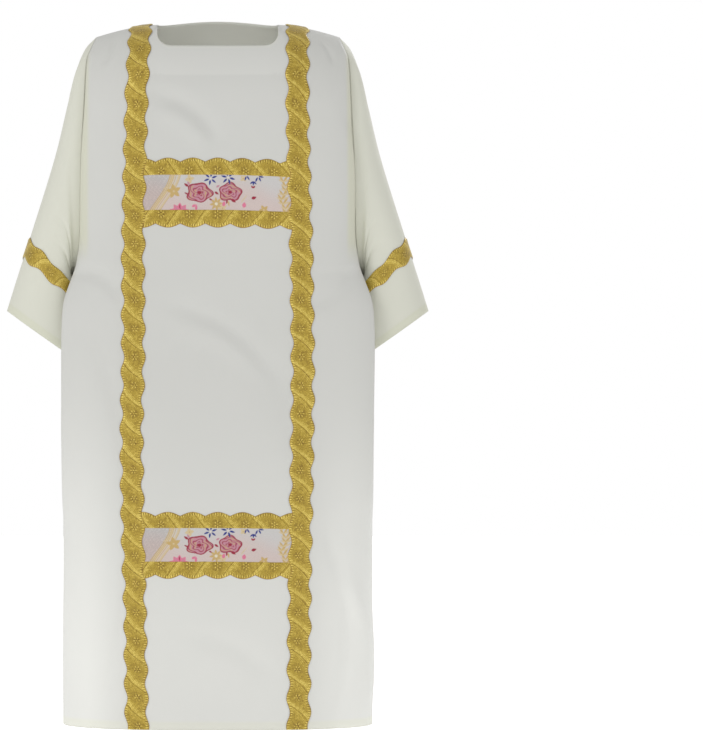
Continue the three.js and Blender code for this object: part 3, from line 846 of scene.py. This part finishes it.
# x from the middle of the strip, y up from its middle
def brocadeFace(x, y):
    warm = ease(0.62 - y / 0.05 + 0.25 * np.sin(x * 40))[:, None]
    tint = np.array(ground["blue"]) * (1 - warm) + np.array(ground["pink"]) * warm
    height = np.zeros_like(x)
    bend = -0.096 + 0.010 * np.sin(y * 42 + 0.5) + y * 0.30      # the gold bands beside the net
    net = (np.sin((x + y) * 2100) * np.sin((x - y) * 2100) > 0.05) & (x < bend)
    tint[net] = tint[net] * 0.66
    for off, thick, ink in ((-0.0050, 0.0010, "gold"), (0.0000, 0.0034, "paleGold"), (-0.0014, 0.0006, "gold"),
                            (0.0016, 0.0006, "gold"), (0.0055, 0.0008, "gold"), (0.0105, 0.0020, "paleGold"),
                            (0.0130, 0.0006, "gold")):
        lay(tint, height, ink, blob(np.abs(x - bend - off) - thick) * 0.85)
    for k in range(5):      # a half-open flower that the lower edge cuts
        turn = 0.30 + k * 0.62
        lay(tint, height, "pink", blob(petal(x, y, -0.0660, -0.0370, turn, 0.0190, 0.0052)))
        lay(tint, height, ("crimson", "mauve")[k % 2], blob(petal(x, y, -0.0660, -0.0370, turn, 0.0170, 0.0014)))
    for spot in roses:
        rose(tint, height, x, y, spot)
    for spot in flowers:
        flower(tint, height, x, y, spot)
    for leaf in leaves:
        lay(tint, height, leaf["ink"], blob(petal(x, y, leaf["x"], leaf["y"], leaf["turn"], leaf["long"],
                                                  leaf["fat"])))
    stem = 0.1180 + 0.004 * np.sin(y * 150)      # an acanthus scroll up the right end
    lay(tint, height, "paleGold", blob(np.abs(x - stem) - 0.0014))
    for k in range(9):
        base = -0.034 + k * 0.0080
        root = 0.1180 + 0.004 * math.sin(base * 150)
        for hand, long in ((1, 0.0190), (-1, 0.0120)):
            for leaf in range(2):
                turn = (0.95 - 0.55 * leaf) if hand > 0 else math.pi - (0.95 - 0.55 * leaf)
                lay(tint, height, ("gold", "paleGold")[leaf],
                    blob(petal(x, y, root, base, turn, long * (1 - 0.2 * leaf), 0.0017)))
    ribs = 0.5 + 0.5 * np.sin(y * 2 * math.pi / 0.0018)
    return np.clip(tint * (0.96 + 0.06 * ribs[:, None]), 0, 1), height


def brocadeShape(side, bar):
    tall = bar["brocadeBottom"] - bar["brocadeTop"]
    def shape(u, v):
        flat = bar["brocadeTop"] + tall * v
        x = barX(u, downAt(flat))
        fall = flat + bar["droop"] * ease(x / 0.16)
        middle = (clavusMiddle(1, downAt(flat)) - clavusMiddle(-1, downAt(flat))) / 2
        tint, height = brocadeFace((x - middle) * -side, (0.5 - v) * 0.065)
        edge = ease(np.minimum(v, 1 - v) / 0.02)
        down = downAt(fall)
        points = panelSpot(side, turnAt(x, down), down, 0.0003 + (0.0005 * edge + height * 0.00025) * tucked(u))
        return points, np.stack([x, v * tall], axis=-1), tint
    return shape


for sideName, side in sides:
    for bar in bars:
        start = sideName + bar["name"].capitalize()
        prefix = sideName + "_" + bar["name"] + "_"
        for edgeName, upper in (("Top", True), ("Bottom", False)):
            piece = clothGrid(start + edgeName + "Galloon", 190, 20, barGalloonShape(side, bar, upper),
                              galloonBraid, [prefix + edgeName.lower() + "_galloon"])
        piece = clothGrid(start + "Brocade", 320, 80, brocadeShape(side, bar), brocadeCloth,
                          [prefix + "brocade"])
print("crossbars done")


# floor, light and camera

studio = {"floorZ": -1.45, "floorHalf": 12, "far": 6.6, "centreZ": -0.630, "frameWide": 1.2654,
          "shift": 0.1903, "air": 0.62, "floorGlow": 0.32}


def paleFloor():
    bm = bmesh.new()
    bmesh.ops.create_grid(bm, x_segments=2, y_segments=2, size=studio["floorHalf"])
    for vert in bm.verts:
        vert.co.z = studio["floorZ"]
    mesh = bpy.data.meshes.new("floor")
    bm.to_mesh(mesh)
    bm.free()
    paper, nodes, links, principled = shader("floorPaper", 0.9)
    principled.inputs["Base Color"].default_value = (0.92, 0.92, 0.92, 1)
    principled.inputs["Emission Color"].default_value = (1, 1, 1, 1)
    cameraOnly = nodes.new("ShaderNodeLightPath")       # white to the camera, dimmer as a light
    glow = nodes.new("ShaderNodeMapRange")
    glow.inputs["To Min"].default_value = studio["floorGlow"]
    glow.inputs["To Max"].default_value = 1.0
    links.new(cameraOnly.outputs["Is Camera Ray"], glow.inputs["Value"])
    links.new(glow.outputs["Result"], principled.inputs["Emission Strength"])
    mesh.materials.append(paper)
    floor = bpy.data.objects.new("floor", mesh)
    bpy.context.scene.collection.objects.link(floor)


def lamp(name, place, energy, size, aim=(0, 0, -0.6)):
    light = bpy.data.lights.new(name, "AREA")
    light.energy = energy
    light.size = size
    lampObject = bpy.data.objects.new(name, light)
    lampObject.location = place
    lampObject.rotation_euler = (Vector(aim) - Vector(place)).to_track_quat("-Z", "Y").to_euler()
    lampObject.visible_camera = False
    bpy.context.scene.collection.objects.link(lampObject)


paleFloor()
lamp("keyLight", (-3.2, -3.6, 1.9), 46, 1.6)
lamp("fillLight", (3.0, -4.0, 0.2), 8, 2.6)
lamp("backLight", (2.4, 3.8, 1.9), 46, 1.6)
lamp("neckLight", (0, -0.01, -0.42), 0.24, 0.12, aim=(0, 0.05, 0))

# white air behind everything, a little dimmer as a light
world = bpy.data.worlds.new("studioAir")
world.use_nodes = True
airNodes, airLinks = world.node_tree.nodes, world.node_tree.links
airNodes["Background"].inputs["Color"].default_value = (1, 1, 1, 1)
rays = airNodes.new("ShaderNodeLightPath")
strength = airNodes.new("ShaderNodeMapRange")
strength.inputs["To Min"].default_value = studio["air"]
strength.inputs["To Max"].default_value = 1.0
airLinks.new(rays.outputs["Is Camera Ray"], strength.inputs["Value"])
airLinks.new(strength.outputs["Result"], airNodes["Background"].inputs["Strength"])
bpy.context.scene.world = world
bpy.context.scene.view_settings.view_transform = "Standard"

camera = bpy.data.cameras.new("camera")
camera.sensor_fit = "HORIZONTAL"
camera.lens = camera.sensor_width * studio["far"] / studio["frameWide"]
camera.shift_x = studio["shift"]
camera.clip_end = 60
cameraObject = bpy.data.objects.new("camera", camera)
cameraObject.location = (0, -studio["far"], studio["centreZ"])
cameraObject.rotation_euler = (quarter, 0, 0)
bpy.context.scene.collection.objects.link(cameraObject)
bpy.context.scene.camera = cameraObject
print("studio done")
